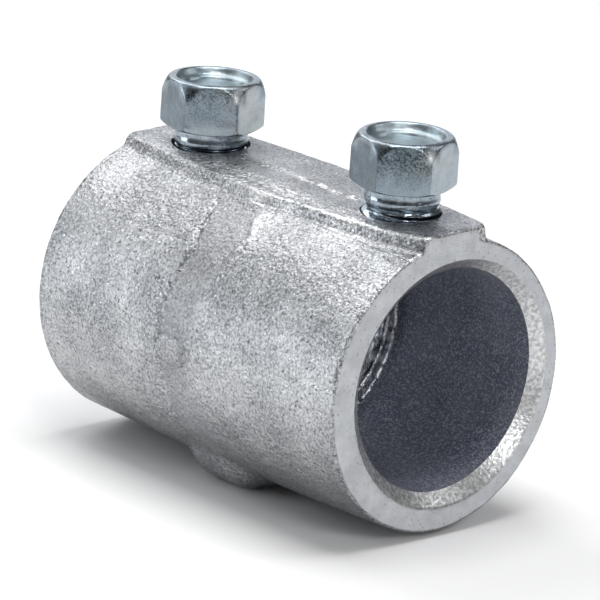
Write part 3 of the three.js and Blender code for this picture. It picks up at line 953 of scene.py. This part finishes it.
def plated_neck():
    """Turned neck and thread, glossier than the head."""
    n = Nodes("zinc_plated_neck")
    cloud = n.noise(0.7, detail=3.0, rough=0.6)
    colour = n.mix(n.ramp(cloud, 0.35, 0.65), (0.24, 0.29, 0.33), (0.40, 0.46, 0.51))
    colour = n.specks(colour, (0.05, 0.06, 0.07), 0.7, 3.0, 0.34, 0.44, detail=2.0)
    roughness = n.ramp(cloud, 0.3, 0.7, 0.12, 0.2)
    return n.finish(colour, roughness, n.bump(n.noise(5.0, detail=2.0), 0.012))


# ---------------------------------------------------------------- pieces

body = casting([cast_skin(), sawn_face(), mouth(), bore_wall(), tapped_wall(), stop_ring()])
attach(body, "sleeve")
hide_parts("coupling_body")

plate = [plated(), plated_recess(), plated_neck()]
for node, owner, place, head, lean, painted_reflections in (
    ("near_set_screw", "near_screw", SCREW_REACH, NEAR_HEAD_HEIGHT, NEAR_LEAN, NEAR_PAINTED_REFLECTIONS),
    ("far_set_screw", "far_screw", -SCREW_REACH, FAR_HEAD_HEIGHT, FAR_LEAN, FAR_PAINTED_REFLECTIONS),
):
    screw = set_screw(node + "_detail", place, head + HEAD_HEIGHT, lean, painted_reflections, plate)
    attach(screw, owner)
    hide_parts(node)

# ---------------------------------------------------------------- floor, light and camera

# In metres and watts
FLOOR_SIZE = 6.0
FLOOR_HEIGHT = -0.00002
LIGHTS = (
    # name, azimuth from +X towards +Y, elevation, distance, width and height, power, colour
    ("key", 178, 46, 0.55, (0.34, 0.34), 1.1, (1, 1, 1)),
    ("fill", 220, 31, 0.75, (0.30, 0.30), 0.5, (1, 1, 1)),
    ("left", 226, 7, 0.75, (0.27, 0.17), 0.95, (0.90, 0.95, 1.0)),
    ("top", 0, 88, 0.60, (0.36, 0.36), 2.6, (1, 1, 1)),
    ("right", -19, 32, 0.65, (0.16, 0.16), 1.0, (1, 1, 1)),
    ("rear_right", 54, 39, 0.65, (0.24, 0.24), 0.42, (1, 1, 1)),
    ("low_right", 10, 14, 0.60, (0.05, 0.12), 0.12, (1, 1, 1)),
    ("back", 138, 16, 0.70, (0.60, 0.26), 0.62, (0.89, 0.92, 1.0)),
)
SKY_STRENGTH = 0.15

# The photo's camera, worked out from the bore's rims, the end face and the screws
CAMERA_PLACE = (0.4380, -0.3973, 0.1988)
CAMERA_YAW = math.radians(47.742)
CAMERA_PITCH = math.radians(16.654)
CAMERA_ROLL = math.radians(3.739)
CAMERA_LENS = 308.8
SENSOR = 36.0


def floor():
    mesh = bpy.data.meshes.new("floor")
    half = FLOOR_SIZE / 2
    corners = [(-half, -half), (half, -half), (half, half), (-half, half)]
    mesh.from_pydata([(x, y, FLOOR_HEIGHT) for x, y in corners], [], [(0, 1, 2, 3)])
    n = Nodes("floor")
    colour = n.mix(n.noise(0.004, detail=2.0), (0.86, 0.86, 0.86), (0.90, 0.90, 0.90))
    mesh.materials.append(n.finish(colour, 0.8, metallic=0.0))
    obj = bpy.data.objects.new("floor", mesh)
    bpy.context.scene.collection.objects.link(obj)


def area_light(name, azimuth, elevation, distance, size, power, colour):
    """A soft light aimed at the middle of the barrel."""
    light = bpy.data.lights.new(name, "AREA")
    light.shape = "RECTANGLE"
    light.size, light.size_y = size
    light.energy = power
    light.color = colour
    obj = bpy.data.objects.new(name, light)
    turn, rise = math.radians(azimuth), math.radians(elevation)
    away = Vector(
        (math.cos(turn) * math.cos(rise), math.sin(turn) * math.cos(rise), math.sin(rise))
    )
    middle = Vector((0, 0, AXIS_HEIGHT * MM))
    obj.location = middle + away * distance
    obj.rotation_euler = away.to_track_quat("Z", "Y").to_euler()
    bpy.context.scene.collection.objects.link(obj)


floor()
for light in LIGHTS:
    area_light(*light)

world = bpy.data.worlds.new("studio")
world.use_nodes = True
background = world.node_tree.nodes["Background"]
background.inputs["Color"].default_value = (1, 1, 1, 1)
background.inputs["Strength"].default_value = SKY_STRENGTH
bpy.context.scene.world = world
bpy.context.scene.view_settings.view_transform = "Standard"


def camera():
    data = bpy.data.cameras.new("camera")
    data.sensor_width = SENSOR
    data.lens = CAMERA_LENS
    data.clip_start = 0.01
    obj = bpy.data.objects.new("camera", data)
    ahead = Vector(
        (
            -math.sin(CAMERA_YAW) * math.cos(CAMERA_PITCH),
            math.cos(CAMERA_YAW) * math.cos(CAMERA_PITCH),
            -math.sin(CAMERA_PITCH),
        )
    )
    level = ahead.cross(Vector((0, 0, 1))).normalized()
    upright = level.cross(ahead)
    right = math.cos(CAMERA_ROLL) * level + math.sin(CAMERA_ROLL) * upright
    up = -math.sin(CAMERA_ROLL) * level + math.cos(CAMERA_ROLL) * upright
    turn = Matrix((right, up, -ahead)).transposed()
    obj.matrix_world = Matrix.Translation(CAMERA_PLACE) @ turn.to_4x4()
    bpy.context.scene.collection.objects.link(obj)
    bpy.context.scene.camera = obj


camera()
